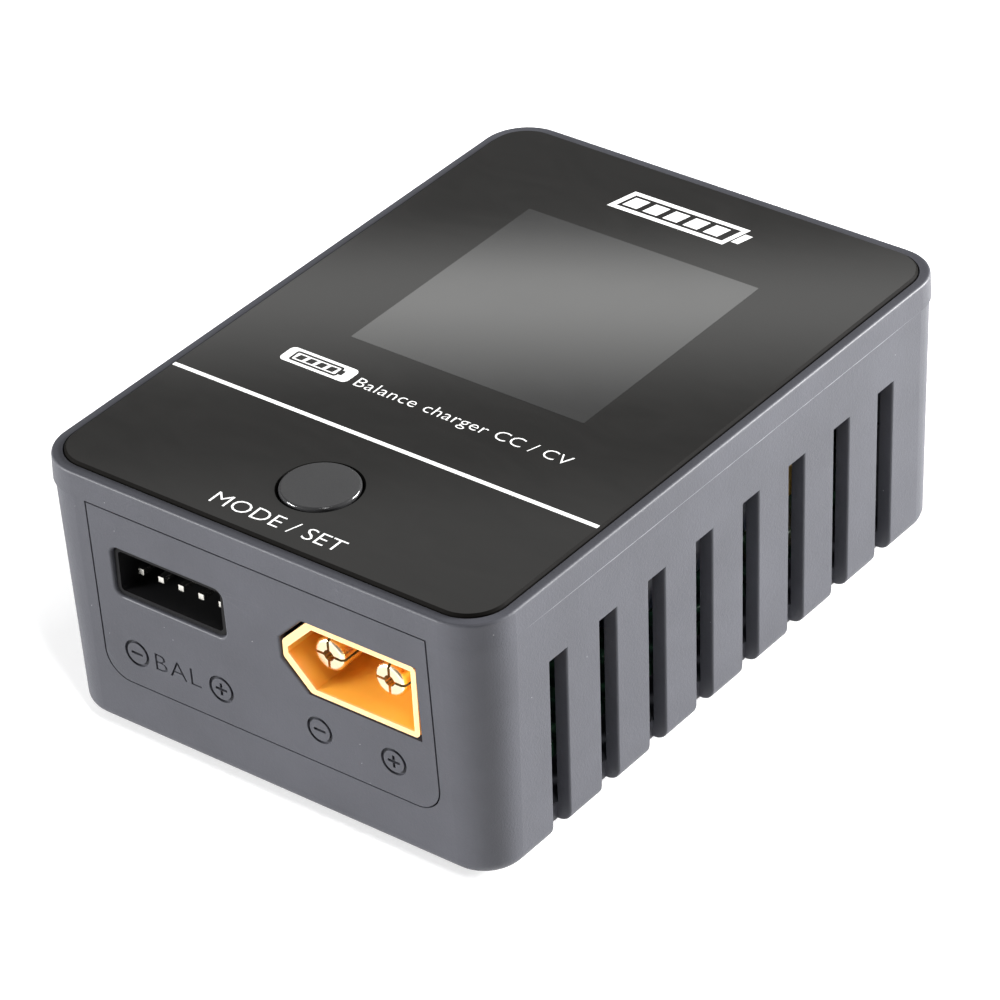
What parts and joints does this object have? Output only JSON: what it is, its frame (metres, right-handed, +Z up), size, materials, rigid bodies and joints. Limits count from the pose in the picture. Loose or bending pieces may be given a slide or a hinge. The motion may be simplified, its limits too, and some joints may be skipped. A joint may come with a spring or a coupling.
{
  "type": "balance battery charger",
  "caption": "Compact rectangular battery charger with a glossy faceplate, display window, round push button, side vents, keyed battery connector and balance socket.",
  "frame": {"origin": "middle of the case, on the surface that the rubber feet stand on", "axes": "+X to the right seen from the front, +Y from the connector panel to the rear, +Z up out of the glossy faceplate"},
  "size_m": [0.0544, 0.0764, 0.0308],
  "materials": {
    "adhesive": "double-sided tape",
    "aluminium": "bare sheet",
    "amber_nylon": "slightly translucent amber nylon",
    "black_nylon": "satin nylon",
    "black_resin": "moulded epoxy",
    "board_green": "glass-epoxy board with solder mask",
    "button_plastic": "satin moulded plastic",
    "can_sleeve": "shrink sleeve over an aluminium can",
    "case_plastic": "matte moulded ABS with a fine spark texture",
    "ceramic_blue": "dipped ceramic",
    "clear_sheet": "polyester sheet",
    "copper": "enamelled copper wire",
    "display_glass": "display surface, switched off",
    "faceplate_acrylic": "polished acrylic, printed black on its back, with a clear window",
    "ferrite": "sintered ferrite",
    "flex_film": "polyimide film",
    "fuse_ceramic": "ceramic tube",
    "gold_plated": "bright plated contact metal",
    "rubber": "soft matt rubber",
    "steel": "zinc-plated steel",
    "tinned_brass": "bright tinned contact metal",
    "white_plastic": "moulded display holder",
    "wire_red": "silicone wire insulation",
    "yellow_case": "film capacitor case",
    "yellow_tape": "polyester winding tape"
  },
  "bodies": {
    "housing": {"lower_case": "case_plastic", "top_cover": "case_plastic", "faceplate": "faceplate_acrylic", "faceplate_tape": "adhesive", "front_panel": "case_plastic", "rear_panel": "case_plastic", "case_screws": "steel", "rubber_feet": "rubber", "display_panel": "display_glass", "display_holder": "white_plastic", "display_ribbon": "flex_film", "ribbon_connector": "white_plastic", "switch_housing": "black_resin", "charger_board": "board_green", "charger_board_screws": "steel", "microcontroller": "black_resin", "power_transistors": "black_resin", "power_inductor": "ferrite", "charger_capacitors": "aluminium", "balance_resistors": "black_resin", "buzzer": "black_resin", "battery_connector_shell": "amber_nylon", "battery_connector_pins": "gold_plated", "balance_socket_shroud": "black_nylon", "balance_socket_pins": "tinned_brass", "link_wires": "wire_red", "supply_board": "board_green", "supply_board_screws": "steel", "insulating_sheet": "clear_sheet", "mains_inlet_body": "black_nylon", "mains_inlet_pins": "tinned_brass", "mains_fuse": "fuse_ceramic", "filter_capacitor": "yellow_case", "choke_core": "ferrite", "choke_winding": "copper", "choke_base": "black_resin", "safety_capacitor": "ceramic_blue", "bridge_rectifier": "black_resin", "bulk_capacitor": "can_sleeve", "switching_transistor": "black_resin", "supply_heat_sink": "aluminium", "transformer_core": "ferrite", "transformer_bobbin": "black_resin", "transformer_winding": "yellow_tape", "output_rectifier": "black_resin", "optocoupler": "white_plastic", "output_capacitors": "can_sleeve"},
    "button": {"button_cap": "button_plastic"},
    "plunger": {"switch_plunger": "black_nylon"}
  },
  "joints": [
    {"name": "button_press", "type": "slide", "parent": "housing", "child": "button", "axis": [0, 0, -1], "range_m": [0, 0.0004], "stiffness_N_per_m": 300},
    {"name": "plunger_press", "type": "slide", "parent": "housing", "child": "plunger", "axis": [0, 0, -1], "range_m": [0, 0.0004]}
  ],
  "couplings": [
    {"joint": "plunger_press", "follows": "button_press", "ratio": 1}
  ]
}
